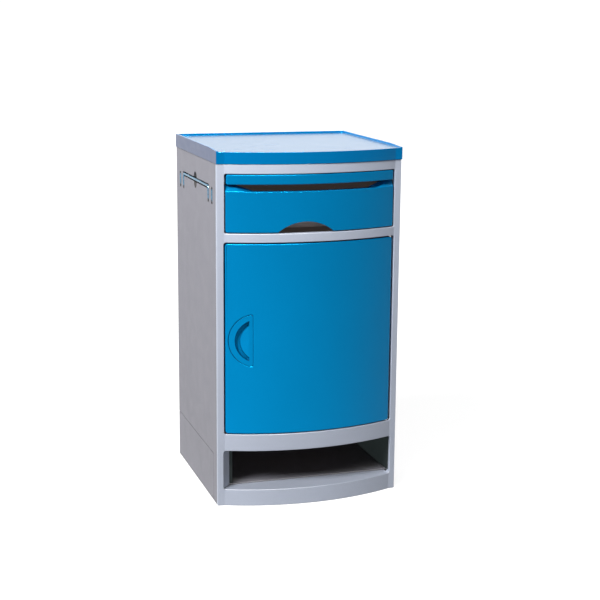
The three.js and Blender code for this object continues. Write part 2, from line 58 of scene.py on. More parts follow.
# Sizes in metres. X runs across, Y from the front to the back, Z up from the floor. A piece of the
# front is drawn flat, with its depth behind the front's outline as Y, and is then bent to the bow.
LOW, HIGH = (Vector(corner) for corner in CAD_BOX)
BOW_HALF = 0.1865  # half the width of the bowed part of the front
BOW_RISE = 0.03565
POST_TURN = 0.00235  # how far back a post's outer corner lies behind the bow's end
BOW_RADIUS = (BOW_HALF**2 + BOW_RISE**2) / (2 * BOW_RISE)
BOW_CENTRE_Y = LOW.y + BOW_RADIUS
CORNER_Y = LOW.y + BOW_RISE + POST_TURN
DEEP = 0.06  # a bowed piece is straight from this depth on
SLICE = 0.006  # spacing of the strips that follow the bow
PAST = 0.001  # how far a cutter runs past a face
GAP = 0.0003
SEAM = 0.0014  # open joint between two panels
CORNER_STEPS = 6  # pieces in a small round corner
ROUND_STEPS = 32  # sides of a screw or a bore

RIM_HEIGHT = 0.0047
TOP_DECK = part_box("top_shell")[1].z - RIM_HEIGHT
TOP_WALL = 0.0035
RIM = 0.005
RIM_CORNER = 0.008
RIM_END = 0.0018  # height of the rim's front end
RIM_SLOPE = 0.020  # how far behind the front corner the rim reaches its full height

RAIL_DEPTH = 0.014
POST_DEPTH = 0.009
UPPER = {"half": 0.186, "bottom": 0.588, "top": 0.711, "corner": 0.004}
DOORWAY = {"half": 0.1875, "bottom": 0.1585, "top": 0.5695, "corner": 0.005}
BAY = {"half": 0.189, "bottom": 0.036, "top": 0.122, "corner": 0.006}
LEDGE_BACK = CORNER_Y + 0.025
LEDGE_START = 0.01  # how deep in the skirt the ledge starts
LEDGE_THICKNESS = 0.004
BAY_RETURN = {"x": 0.171, "thickness": 0.0035, "root_x": 0.192, "root_y": CORNER_Y + 0.003, "overlap": 0.002}

STRIP = {"half": 0.182, "bottom": 0.689, "top": 0.7095, "face": 0.0015, "back": 0.0135, "corner": 0.003}
DRAWER = {"half": 0.1835, "bottom": 0.590, "top": 0.688, "face": 0.0025, "skin": 0.004, "corner": 0.0035}
BEVEL = {"foot": 0.6745, "top_depth": 0.014, "back": 0.022, "bottom": 0.668}
SCOOP = {"front_foot": 0.149, "back_foot": 0.123, "tip": 0.172}
ARCH = {"x": -0.0195, "half": 0.0594, "rise": 0.0215, "steps": 40}
LIP = 0.003  # thickness of the flange along the drawer front's foot

DOOR = {"left": -0.1845, "right": 0.1835, "bottom": 0.160, "top": 0.567}
DOOR_FACE, DOOR_BACK, DOOR_SKIN = 0.0025, 0.0165, 0.004
DOOR_CORNER = 0.006
DOOR_EDGE = 0.003
STILE = 0.012  # the solid upright at the hinges
PIN_HOLE = 0.0033
PULL = {"x": -0.122, "z": 0.3623, "radius": 0.0565, "flat": -0.1294, "corner": 0.004}
PULL_BACK = 0.0128
DISH = {"x": -0.1193, "z": 0.3615, "radius": 0.0467, "flat": -0.137}
CREST = {"x": -0.1135, "z": 0.360, "radius": 0.0405}
DISH_FLOOR = 0.0045  # how deep the hollow's floor lies at the crest
DISH_DEPTH = 0.0093
DISH_RAYS = 48
DISH_FLOOR_STEPS = 5
# The cove from the crest (0) to the hollow's edge (1), and how much of its depth it has there
COVE = [(0.0, 0.0), (0.02, 0.45), (0.05, 0.78), (0.1, 0.95), (0.17, 1.0), (0.38, 1.0)]
COVE += [(0.55, 0.97), (0.72, 0.85), (0.86, 0.6), (0.96, 0.24), (1.0, 0.0)]
COVE_FOOT = 0.27  # up to here the cove starts from the sunk floor, and beyond it from the face

FRAME_BACK = CORNER_Y + 0.010
SCREW_RISE = 0.0015
SIDE = {"outer": 0.2015, "inner": 0.1975, "front": FRAME_BACK + SEAM, "back": HIGH.y - SCREW_RISE}
SIDE_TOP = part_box("side_panel_left")[1].z
BASE_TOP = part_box("base_moulding")[1].z
BASE_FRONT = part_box("base_moulding")[0].y
ROD = {"radius": 0.0023, "bend": 0.005, "depth": 0.0009, "pivot_depth": 0.0042, "dip": 0.0045}
RAIL = {"y": 0.0205, "outer": 0.14525, "inner": 0.114, "pivot": 0.6495, "bar": 0.6775, "tip": 0.674}
GROOVE = {"half": 0.0052, "depth": 0.0073, "bottom": 0.6443, "top": 0.6827, "outer_top": 0.679}
TIGHTEST_BEND = 0.45  # share of a straight stretch that one bend may use
SKIN = 0.0012  # plastic left in front of the tunnels
BAND = {"bottom": 0.634, "top": 0.708, "half": 0.160, "inner": 0.1875}  # thicker wall round the rail
FINGER = {"y": 0.0225, "z": 0.677, "half_width": 0.0155, "half_height": 0.01775, "depth": 0.0105}
FINGER_LIFT = 0.35  # how far outside the panel the hollow's ball is centred, as a share of its depth
SCREW = {"head": 0.004, "shank": 0.0018, "slot": 0.0006, "slot_depth": 0.0007}
SCREW_SLOT_REACH = 0.55  # length of the cross recess's arms, as a share of the head's radius
SCREW_CROWN = [(0.0, 1.0), (0.5, 1.0), (0.8, 0.9), (1.0, 0.65)]  # shares of the head's height and radius

# Width of each piece's rounded edges
ROUNDING = {
    "top": 0.0009,
    "frame": 0.0012,
    "return": 0.0006,
    "side": 0.0004,
    "screw": 0.00015,
    "strip": 0.002,
    "drawer": 0.0014,
    "door": 0.0024,
    "pull": 0.0005,
    "cad": 0.0006,
}

# Following the bow


def bow_y(x, depth):
    """The Y of a point at this depth behind the front's outline, which is straight from DEEP on."""
    if depth >= DEEP:
        return LOW.y + depth
    reach = min(abs(x), BOW_HALF)
    y = BOW_CENTRE_Y - math.sqrt((BOW_RADIUS - depth) ** 2 - reach**2)
    return y + (abs(x) - reach) * POST_TURN / (HIGH.x - BOW_HALF)


def slice_across(piece):
    """Cuts the faces into upright strips that can follow the bow."""
    mesh = bmesh.new()
    mesh.from_mesh(piece.data)
    count = round(2 * BOW_HALF / SLICE)
    left = min(vertex.co.x for vertex in mesh.verts)
    right = max(vertex.co.x for vertex in mesh.verts)
    for i in range(count + 1):
        x = 2 * BOW_HALF * i / count - BOW_HALF
        if left < x < right:
            everything = mesh.verts[:] + mesh.edges[:] + mesh.faces[:]
            bmesh.ops.bisect_plane(mesh, geom=everything, plane_co=(x, 0, 0), plane_no=(1, 0, 0), dist=1e-6)
    mesh.to_mesh(piece.data)
    mesh.free()


def bend(piece):
    """Turns depths behind the front's outline into places on the bow."""
    for vertex in piece.data.vertices:
        vertex.co.y = bow_y(vertex.co.x, vertex.co.y)


# Outlines


def arc(centre_a, centre_b, radius, start, end, steps):
    """Points on an arc, with its angles in degrees."""
    angles = [math.radians(start + (end - start) * i / steps) for i in range(steps + 1)]
    return [(centre_a + radius * math.cos(t), centre_b + radius * math.sin(t)) for t in angles]


def rounded(left, right, low, high, corner):
    """A rectangle's outline with round corners."""
    return (
        arc(right - corner, high - corner, corner, 0, 90, CORNER_STEPS)
        + arc(left + corner, high - corner, corner, 90, 180, CORNER_STEPS)
        + arc(left + corner, low + corner, corner, 180, 270, CORNER_STEPS)
        + arc(right - corner, low + corner, corner, 270, 360, CORNER_STEPS)
    )


def rectangle(left, right, low, high):
    return [(left, low), (right, low), (right, high), (left, high)]


def half_disc(x, z, radius, flat, corner):
    """A circle's outline cut by an upright line on its right, with round corners."""
    round_steps, corner_steps = 48, 8
    across = flat - corner - x
    up = math.sqrt((radius - corner) ** 2 - across**2)
    turn = math.degrees(math.atan2(up, across))
    return (
        arc(flat - corner, z + up, corner, 0, turn, corner_steps)
        + arc(x, z, radius, turn, 360 - turn, round_steps)[1:-1]
        + arc(flat - corner, z - up, corner, 360 - turn, 360, corner_steps)
    )


# Solids


def link(name, mesh):
    """Puts a bmesh into the scene as an object."""
    data = bpy.data.meshes.new(name)
    mesh.to_mesh(data)
    mesh.free()
    piece = bpy.data.objects.new(name, data)
    bpy.context.scene.collection.objects.link(piece)
    return piece


def loft(name, near, far, axis, low, high):
    """A closed solid between two outlines with as many points, at two places along an axis."""
    place = {
        "x": lambda a, b, along: (along, a, b),
        "y": lambda a, b, along: (a, along, b),
        "z": lambda a, b, along: (a, b, along),
    }[axis]
    mesh = bmesh.new()
    first = [mesh.verts.new(place(a, b, low)) for a, b in near]
    last = [mesh.verts.new(place(a, b, high)) for a, b in far]
    mesh.faces.new(first)
    mesh.faces.new(last)
    for i in range(len(first)):
        j = (i + 1) % len(first)
        mesh.faces.new((first[i], first[j], last[j], last[i]))
    bmesh.ops.recalc_face_normals(mesh, faces=mesh.faces)
    return link(name, mesh)


def prism(name, outline, axis, low, high):
    return loft(name, outline, outline, axis, low, high)


def block(name, x, y, z):
    """A box from its spans along the three axes, each from low to high."""
    return prism(name, rectangle(*x, *y), "z", *z)


def apply_modifiers(piece):
    """Turns a piece's modifiers into its mesh."""
    graph = bpy.context.evaluated_depsgraph_get()
    data = bpy.data.meshes.new_from_object(piece.evaluated_get(graph))
    piece.modifiers.clear()
    piece.data = data


def boolean(piece, operation, *others):
    """Cuts, joins or intersects a piece with others, which are used up."""
    for other in others:
        modifier = piece.modifiers.new(operation.lower(), "BOOLEAN")
        modifier.operation = operation
        modifier.solver = "EXACT"
        modifier.object = other
    apply_modifiers(piece)
    for other in others:
        bpy.data.objects.remove(other)
    return piece


def cut(piece, *others):
    return boolean(piece, "DIFFERENCE", *others)


def join(piece, *others):
    return boolean(piece, "UNION", *others)


def keep(piece, other):
    return boolean(piece, "INTERSECT", other)


def round_edges(piece, width, segments=3, angle=30):
    """Merges flat faces, then rounds every edge sharper than the angle."""
    mesh = bmesh.new()
    mesh.from_mesh(piece.data)
    bmesh.ops.remove_doubles(mesh, verts=mesh.verts, dist=1e-6)
    bmesh.ops.dissolve_limit(mesh, angle_limit=math.radians(0.5), verts=mesh.verts, edges=mesh.edges)
    mesh.to_mesh(piece.data)
    mesh.free()
    modifier = piece.modifiers.new("round", "BEVEL")
    modifier.width = width
    modifier.segments = segments
    modifier.limit_method = "ANGLE"
    modifier.angle_limit = math.radians(angle)
    modifier.use_clamp_overlap = False
    apply_modifiers(piece)
    return piece


def smooth(piece, creases=()):
    """Smooth shading that leans on the large faces, with a crease along each given X."""
    data = piece.data
    data.polygons.foreach_set("use_smooth", [True] * len(data.polygons))
    for edge in data.edges:
        ends = [abs(data.vertices[i].co.x) for i in edge.vertices]
        edge.use_edge_sharp = any(max(abs(end - x) for end in ends) < 1e-5 for x in creases)
    modifier = piece.modifiers.new("even normals", "WEIGHTED_NORMAL")
    modifier.keep_sharp = True
    return piece


def bowed(piece, rounding, creases=()):
    """Rounds a piece drawn flat, bends it to the bow and shades it."""
    round_edges(piece, rounding)
    slice_across(piece)
    bend(piece)
    return smooth(piece, creases)


def add(piece, body, slot, material, *nodes):
    """Makes a piece part of a body, in the place of its CAD nodes."""
    piece.data.materials.clear()
    piece.data.materials.append(material)
    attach(piece, body)
    if nodes:
        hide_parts(*nodes)


# Materials


class Look:
    """A material's nodes, with short calls to add and join them."""

    def __init__(self, name):
        self.material = bpy.data.materials.new(name)
        self.material.use_nodes = True
        self.tree = self.material.node_tree
        self.shader = self.tree.nodes["Principled BSDF"]
        self.place = self.node("ShaderNodeTexCoord").outputs["Object"]

    def node(self, kind, **settings):
        made = self.tree.nodes.new(kind)
        for key, value in settings.items():
            setattr(made, key, value)
        return made

    def join(self, source, target):
        self.tree.links.new(source, target)

    def noise(self, scale, detail=2.0, stretch=(1, 1, 1), distortion=0.0):
        mapping = self.node("ShaderNodeMapping")
        mapping.inputs["Scale"].default_value = stretch
        self.join(self.place, mapping.inputs["Vector"])
        noise = self.node("ShaderNodeTexNoise")
        noise.inputs["Scale"].default_value = scale
        noise.inputs["Detail"].default_value = detail
        noise.inputs["Distortion"].default_value = distortion
        self.join(mapping.outputs["Vector"], noise.inputs["Vector"])
        return noise.outputs["Fac"]

    def ramp(self, value, low, high, to_low=0.0, to_high=1.0):
        remap = self.node("ShaderNodeMapRange")
        numbers = {"From Min": low, "From Max": high, "To Min": to_low, "To Max": to_high}
        for name, number in numbers.items():
            remap.inputs[name].default_value = number
        self.join(value, remap.inputs["Value"])
        return remap.outputs["Result"]

    def blend(self, factor, first, second, mode="MIX"):
        mix = self.node("ShaderNodeMix", data_type="RGBA", blend_type=mode)
        self.join(factor, mix.inputs["Factor"])
        for name, value in (("A", first), ("B", second)):
            target = next(s for s in mix.inputs if s.name == name and s.type == "RGBA")
            if isinstance(value, tuple):
                target.default_value = (*value, 1.0)
            else:
                self.join(value, target)
        return next(s for s in mix.outputs if s.type == "RGBA")

    def multiply(self, first, second):
        whole = self.node("ShaderNodeValue")
        whole.outputs[0].default_value = 1.0
        return self.blend(whole.outputs[0], first, second, "MULTIPLY")

    def bump(self, height, distance, under=None):
        made = self.node("ShaderNodeBump")
        made.inputs["Distance"].default_value = distance
        made.inputs["Strength"].default_value = 1.0
        self.join(height, made.inputs["Height"])
        if under:
            self.join(under, made.inputs["Normal"])
        return made.outputs["Normal"]


def shade(colour, factor):
    return tuple(channel * factor for channel in colour)


def grey(level):
    return (level, level, level)


# Scale and detail of each noise
DRIFT = (5.0, 3.0)
SPECKLE = (420.0, 4.0)
RUBBED = (26.0, 6.0)
WAVES = (30.0, 1.0)
STREAKS = (900.0, 2.0)
CLOUD = (220.0, 4.0)
GRAIN_DETAIL = 3.0
BRUSH_DETAIL = 2.0
FALLOFF_FOOT, FALLOFF_TOP = 0.1, 0.73  # heights between which the painted light on a plastic grows brighter, from the floor up


def moulded_plastic(
    name,
    colour,
    roughness,
    grain=1100.0,
    grain_height=0.00004,
    mottle=0.05,
    wave=0.00002,
    wear=0.04,
    painted_falloff=None,
    reach=0.004,
    shade_strength=0.6,
    shade_tone=0.3,
    ior=1.45,
    glow=None,
    tint=None,
):
    """Injection-moulded plastic: slow colour drift, mould grain, rubbed patches and painted shade in corners.

    grain, grain_height: fineness and height of the mould's grain; wave: height of slower unevenness;
    mottle: strength of the speckle; wear: how much rubbing changes the roughness;
    painted_falloff: painted light, the brightness near the floor and at the top; reach, shade_strength,
    shade_tone: how far the painted shade reaches out of a corner, how dense it is there, and its
    brightness; ior, tint: the gloss; glow: light it sends out.
    """
    look = Look(name)
    drift = look.ramp(look.noise(*DRIFT), 0.3, 0.7)
    base = look.blend(drift, shade(colour, 0.97), shade(colour, 1.03))
    speckle = look.ramp(look.noise(*SPECKLE), 0.35, 0.65)
    base = look.multiply(base, look.blend(speckle, grey(1 - mottle), grey(1 + mottle)))
    # Painted light: the colour is made darker towards the floor and brighter towards the top.
    if painted_falloff:
        height = look.node("ShaderNodeSeparateXYZ")
        look.join(look.place, height.inputs[0])
        level = look.ramp(height.outputs["Z"], FALLOFF_FOOT, FALLOFF_TOP)
        low, high = painted_falloff
        base = look.multiply(base, look.blend(level, grey(low), grey(high)))
    # Painted shade: the colour darkens where ambient occlusion finds corners and hollows.
    corner = look.node("ShaderNodeAmbientOcclusion", samples=6)
    corner.inputs["Distance"].default_value = reach
    corner_shade = look.ramp(corner.outputs["AO"], 0.3, 0.85, shade_strength, 0.0)
    look.join(look.blend(corner_shade, base, shade(colour, shade_tone)), look.shader.inputs["Base Color"])
    rubbed = look.ramp(look.noise(*RUBBED, distortion=0.6), 0.3, 0.75, roughness - wear, roughness + wear)
    look.join(rubbed, look.shader.inputs["Roughness"])
    waves = look.bump(look.noise(*WAVES), wave)
    grained = look.bump(look.noise(grain, GRAIN_DETAIL), grain_height, under=waves)
    look.join(grained, look.shader.inputs["Normal"])
    look.shader.inputs["IOR"].default_value = ior
    # Painted light: a plastic that glows a little though it is no lamp.
    if glow:
        look.shader.inputs["Emission Color"].default_value = (*glow, 1.0)
        look.shader.inputs["Emission Strength"].default_value = 1.0
    if tint:
        look.shader.inputs["Specular Tint"].default_value = (*tint, 1.0)
    return look.material


def coated_rod(name, colour):
    """A bent steel rod with a thin tinted coat, drawn along its length."""
    look = Look(name)
    streaks = look.ramp(look.noise(*STREAKS, stretch=(1, 0.03, 1)), 0.35, 0.7)
    coat = look.blend(streaks, shade(colour, 0.85), shade(colour, 1.1))
    look.join(coat, look.shader.inputs["Base Color"])
    look.join(look.ramp(streaks, 0.0, 1.0, 0.24, 0.36), look.shader.inputs["Roughness"])
    drawn = look.bump(look.noise(1400.0, BRUSH_DETAIL), 0.00002)
    look.join(drawn, look.shader.inputs["Normal"])
    look.shader.inputs["Metallic"].default_value = 0.35
    return look.material


def zinc_steel(name):
    """Zinc-plated steel with a cloudy, faintly brushed finish."""
    look = Look(name)
    cloud = look.ramp(look.noise(*CLOUD), 0.3, 0.7)
    plating = look.blend(cloud, (0.44, 0.45, 0.46), (0.66, 0.67, 0.68))
    look.join(plating, look.shader.inputs["Base Color"])
    look.join(look.ramp(cloud, 0.0, 1.0, 0.22, 0.42), look.shader.inputs["Roughness"])
    brushed = look.bump(look.noise(1800.0, BRUSH_DETAIL, stretch=(1, 1, 0.1)), 0.00002)
    look.join(brushed, look.shader.inputs["Normal"])
    look.shader.inputs["Metallic"].default_value = 1.0
    return look.material


GLOSS_TINT = (0.0, 0.55, 1.0)
SEEPING = (0.020, 0.016, 0.015)  # painted light: a faint glow of the inside plastics, for the little light that reaches the inside
# Painted shade, dense and dark, in its corners and hollows such as the scoop and the arch.
BLUE = moulded_plastic(
    "blue_plastic",
    (0.0005, 0.192, 0.44),
    0.22,
    grain=900.0,
    grain_height=0.000004,
    mottle=0.015,
    wave=0.000008,
    reach=0.007,
    shade_strength=0.7,
    shade_tone=0.12,
    tint=GLOSS_TINT,
)
# Painted shade reaching far into the pull's hollow, darkening it.
PULL_BLUE = moulded_plastic(
    "pull_plastic",
    (0.0005, 0.186, 0.43),
    0.24,
    grain=900.0,
    grain_height=0.000004,
    mottle=0.015,
    reach=0.016,
    shade_strength=0.95,
    tint=GLOSS_TINT,
)
TOP_BLUE = moulded_plastic(
    "top_blue_plastic",
    (0.0005, 0.178, 0.455),
    0.2,
    grain=900.0,
    grain_height=0.000003,
    mottle=0.015,
    wave=0.000006,
    tint=GLOSS_TINT,
)
DECK = moulded_plastic(
    "deck_plastic",
    (0.08, 0.20, 0.36),
    0.24,
    grain=700.0,
    grain_height=0.0000003,
    mottle=0.02,
    wave=0.000001,
    wear=0.01,
)
EDGE = moulded_plastic(
    "edge_plastic",
    (0.10, 0.125, 0.21),
    0.34,
    grain=900.0,
    grain_height=0.000005,
    mottle=0.03,
    wave=0.000008,
    ior=1.22,
)
# Painted light: darker towards the floor and brighter towards the top.
PALE = moulded_plastic(
    "pale_plastic",
    (0.415, 0.455, 0.55),
    0.42,
    grain=1300.0,
    grain_height=0.00002,
    mottle=0.02,
    painted_falloff=(0.78, 1.16),
)
# Painted light and shade: darker towards the floor, brighter towards the top, and darkened far out of
# corners.
GREY = moulded_plastic(
    "grey_plastic",
    (0.18, 0.177, 0.208),
    0.55,
    grain_height=0.00003,
    mottle=0.03,
    painted_falloff=(0.78, 1.05),
    reach=0.012,
    shade_strength=0.75,
)
# Painted light: this plastic and the tray below glow faintly with SEEPING.
INNER = moulded_plastic("inner_plastic", (0.13, 0.11, 0.10), 0.6, glow=SEEPING)
TRAY = moulded_plastic(
    "tray_plastic", (0.38, 0.33, 0.31), 0.55, grain_height=0.00003, mottle=0.04, glow=SEEPING
)
# Painted shade and painted light: the bay walls are near black with a faint glow, to show the flat dark of
# the shaded bay.
BAY_SHADE = moulded_plastic("bay_shade", (0.012, 0.015, 0.015), 0.7, ior=1.15, glow=(0.012, 0.016, 0.016))
# Painted shade: a darker grey for the finger hollow in the side panels.
DISH_SHADE = moulded_plastic("dish_shade", (0.075, 0.072, 0.073), 0.75, ior=1.15)
# Painted shade: near black for the faces sunk in the towel rail's grooves.
GROOVE_SHADE = moulded_plastic("groove_shade", (0.02, 0.022, 0.025), 0.6)
ROD_METAL = coated_rod("coated_rod", (0.075, 0.20, 0.31))
ZINC = zinc_steel("zinc_steel")


# Camera, light and floor

CAMERA_PLACE = (-0.8744, CORNER_Y - 2.6635, 1.0379)
CAMERA_YAW, CAMERA_PITCH, CAMERA_ROLL = 0.3098, -0.2107, 0.0085  # radians
CAMERA_LENS = 81.4  # millimetres
CENTRE = Vector((0, 0, 0.45))  # what the lights point at
FILL = 0.10  # strength of the world as light on matt surfaces
BACKGROUND = 1.05  # strength of the world as the camera sees it
# Strength of the world in gloss, dim towards the front and bright towards the back
BACKDROP = {"From Min": -0.2, "From Max": 0.6, "To Min": 0.2, "To Max": 1.35}
FLOOR_HALF = 12
FLOOR_GLOW = 0.78


def place_camera():
    """A long lens, from above the front left."""
    yaw, pitch, roll = CAMERA_YAW, CAMERA_PITCH, CAMERA_ROLL
    ahead = Vector((math.sin(yaw) * math.cos(pitch), math.cos(yaw) * math.cos(pitch), math.sin(pitch)))
    right = Vector((math.cos(yaw), -math.sin(yaw), 0))
    up = right.cross(ahead)
    across = math.cos(roll) * right + math.sin(roll) * up
    upward = math.cos(roll) * up - math.sin(roll) * right
    camera = bpy.data.objects.new("camera", bpy.data.cameras.new("camera"))
    turn = Matrix((across, upward, -ahead)).transposed().to_4x4()
    camera.matrix_world = Matrix.Translation(CAMERA_PLACE) @ turn
    camera.data.lens = CAMERA_LENS
    camera.data.clip_end = 100
    bpy.context.scene.collection.objects.link(camera)
    bpy.context.scene.camera = camera


def direction_of(azimuth, elevation):
    """Azimuth is from the front towards the right, in degrees."""
    a, e = math.radians(azimuth), math.radians(elevation)
    return Vector((math.sin(a) * math.cos(e), -math.cos(a) * math.cos(e), math.sin(e)))


def place_light(light, azimuth, elevation, distance):
    """Puts a light out from the cabinet's middle, turned back to it."""
    towards = direction_of(azimuth, elevation)
    turn = towards.to_track_quat("Z", "Y").to_matrix().to_4x4()
    light.matrix_world = Matrix.Translation(CENTRE + distance * towards) @ turn
    bpy.context.scene.collection.objects.link(light)


def far_light(name, azimuth, elevation, strength, spread):
    """A soft light a long way off."""
    light = bpy.data.objects.new(name, bpy.data.lights.new(name, "SUN"))
    light.data.energy = strength
    light.data.angle = math.radians(spread)
    place_light(light, azimuth, elevation, 5)
    return light


def strip_light(name, azimuth, elevation, distance, width, height, power):
    """A wide, low softbox that shows only in gloss, as a line along rounded edges."""
    light = bpy.data.objects.new(name, bpy.data.lights.new(name, "AREA"))
    light.data.shape = "RECTANGLE"
    light.data.size = width
    light.data.size_y = height
    light.data.energy = power
    light.visible_diffuse = False
    place_light(light, azimuth, elevation, distance)


def place_lights():
    """A soft key from the front left, a line of gloss on the edges and two weaker lights behind."""
    far_light("key", -55, 42, 4.6, 20)
    strip_light("edge_strip", -25, 46, 3, 3.5, 0.35, 1300)
    for name, azimuth, strength in (("rear_right", 125, 2.2), ("rear", 188, 1.5)):
        far_light(name, azimuth, 18, strength, 15).visible_glossy = False


def place_world():
    """A white studio: bright behind the cabinet, dim in front of it, and weak as fill light."""
    world = bpy.data.worlds.new("studio")
    bpy.context.scene.world = world
    world.use_nodes = True
    tree = world.node_tree

    def node(kind, **settings):
        made = tree.nodes.new(kind)
        for key, value in settings.items():
            setattr(made, key, value)
        return made

    def mix(factor, first, second):
        made = node("ShaderNodeMix", data_type="FLOAT")
        tree.links.new(factor, made.inputs[0])
        for socket, value in ((made.inputs[2], first), (made.inputs[3], second)):
            if isinstance(value, float):
                socket.default_value = value
            else:
                tree.links.new(value, socket)
        return made.outputs[0]

    direction = node("ShaderNodeSeparateXYZ")
    tree.links.new(node("ShaderNodeTexCoord").outputs["Generated"], direction.inputs[0])
    backdrop = node("ShaderNodeMapRange")
    for name, number in BACKDROP.items():
        backdrop.inputs[name].default_value = number
    tree.links.new(direction.outputs["Y"], backdrop.inputs["Value"])
    path = node("ShaderNodeLightPath")
    strength = mix(path.outputs["Is Diffuse Ray"], backdrop.outputs["Result"], FILL)
    strength = mix(path.outputs["Is Camera Ray"], strength, BACKGROUND)
    tree.links.new(strength, tree.nodes["Background"].inputs["Strength"])
    tree.nodes["Background"].inputs["Color"].default_value = (1, 1, 1, 1)


def place_floor():
    """A pale floor that glows a little, so that shadows on it stay faint, and lights nothing."""
    span = (-FLOOR_HALF, FLOOR_HALF)
    floor = block("floor", span, span, (-0.02, -0.0002))
    look = Look("floor_paint")
    tone = look.ramp(look.noise(1.5, 2.0), 0.3, 0.7)
    paint = look.blend(tone, grey(0.24), grey(0.26))
    path = look.node("ShaderNodeLightPath")
    lit = path.outputs["Is Diffuse Ray"]
    look.join(look.blend(lit, paint, (0.12, 0.12, 0.125)), look.shader.inputs["Base Color"])
    look.join(look.ramp(lit, 0, 1, FLOOR_GLOW, 0.0), look.shader.inputs["Emission Strength"])
    look.shader.inputs["Emission Color"].default_value = (1, 1, 1, 1)
    look.shader.inputs["Roughness"].default_value = 0.8
    floor.data.materials.append(look.material)


# The carcass


def top_shell():
    """The top moulding: a deck in a low rim on three sides, hollow underneath."""
    low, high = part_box("top_shell")
    depth = high.y - low.y
    side = high.x - RIM
    recess = (
        [(-side, -PAST), (side, -PAST)]
        + arc(side - RIM_CORNER, depth - RIM - RIM_CORNER, RIM_CORNER, 0, 90, CORNER_STEPS)
        + arc(RIM_CORNER - side, depth - RIM - RIM_CORNER, RIM_CORNER, 90, 180, CORNER_STEPS)
    )
    slope_end = CORNER_Y + RIM_SLOPE - LOW.y
    slope = [
        (-PAST, TOP_DECK + RIM_END),
        (0, TOP_DECK + RIM_END),
        (slope_end, high.z),
        (slope_end, high.z + PAST),
        (-PAST, high.z + PAST),
    ]
    shell = block("top", (low.x, high.x), (0, depth), (low.z, high.z))
    cut(
        shell,
        prism("recess", recess, "z", TOP_DECK, high.z + PAST),
        prism("slope", slope, "x", low.x - PAST, high.x + PAST),
        block(
            "hollow",
            (low.x + TOP_WALL, high.x - TOP_WALL),
            (TOP_WALL, depth - TOP_WALL),
            (low.z - PAST, TOP_DECK - TOP_WALL),
        ),
    )
    bowed(shell, ROUNDING["top"], (BOW_HALF,))
    add(shell, "carcass", "blue_plastic", TOP_BLUE, "top_shell")
    shell.data.materials.append(DECK)
    shell.data.materials.append(EDGE)
    for face in shell.data.polygons:
        if face.normal.z > 0.9 and abs(face.center.z - TOP_DECK) < GAP:
            face.material_index = 1
        elif abs(face.center.x) > high.x - GAP or face.center.y > high.y - GAP:
            face.material_index = 2


def opening(half, bottom, top, corner):
    return prism("opening", rounded(-half, half, bottom, top, corner), "y", -PAST, DEEP)


def bay_return():
    """The slanted wall between the left post and the shoe bay."""
    x, root_x, root_y = BAY_RETURN["x"], BAY_RETURN["root_x"], BAY_RETURN["root_y"]
    thickness, overlap = BAY_RETURN["thickness"], BAY_RETURN["overlap"]
    outline = [
        (-root_x, root_y),
        (-x, LEDGE_BACK - thickness),
        (-x, LEDGE_BACK),
        (-root_x, root_y + thickness),
    ]
    return prism("bay_return", outline, "z", BAY["bottom"] - overlap, BAY["top"] + overlap)


def front_frame():
    """Posts, rails and skirt in one moulding, with the ledge in front of the shoe bay."""
    low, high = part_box("front_frame")
    face = low.y - LOW.y
    half = BAY["half"]
    piece = block("frame", (low.x, high.x), (face, face + RAIL_DEPTH), (0, high.z))
    behind_posts = [
        block("behind", ends, (face + POST_DEPTH, DEEP), (-PAST, high.z + PAST))
        for ends in ((low.x - PAST, -half), (half, high.x + PAST))
    ]
    cut(piece, opening(**UPPER), opening(**DOORWAY), *behind_posts)
    cut(piece, opening(**BAY))
    ledge_depth = (face + LEDGE_START, LEDGE_BACK - LOW.y)
    ledge_height = (BAY["bottom"] - LEDGE_THICKNESS, BAY["bottom"])
    join(piece, block("ledge", (-BOW_HALF, BOW_HALF), ledge_depth, ledge_height))
    bowed(piece, ROUNDING["frame"], (BOW_HALF,))
    add(piece, "carcass", "pale_plastic", PALE, "front_frame")
    wall = smooth(round_edges(bay_return(), ROUNDING["return"]))
    add(wall, "carcass", "pale_plastic", PALE)


def side_span(sign, outer, inner):
    """A span across one side, from its distances to the cabinet's middle."""
    return sorted((sign * outer, sign * inner))


def groove(sign, y, half, bottom, top, outer, inner):
    """A box let into a side panel, between two distances from the cabinet's middle."""
    middle = RAIL["y"] + y
    return block("groove", side_span(sign, outer, inner), (middle - half, middle + half), (bottom, top))


def finger_dish(sign):
    """The soft hollow behind the towel rail's bar."""
    offset = FINGER_LIFT * FINGER["depth"]
    reach = FINGER["depth"] + offset
    share = math.sqrt(1 - (offset / reach) ** 2)
    mesh = bmesh.new()
    bmesh.ops.create_uvsphere(mesh, u_segments=48, v_segments=24, radius=1)
    dish = link("dish", mesh)
    middle = Vector((sign * (SIDE["outer"] + offset), FINGER["y"], FINGER["z"]))
    size = (reach, FINGER["half_width"] / share, FINGER["half_height"] / share)
    dish.data.transform(Matrix.Translation(middle) @ Matrix.Diagonal((*size, 1)))
    return dish


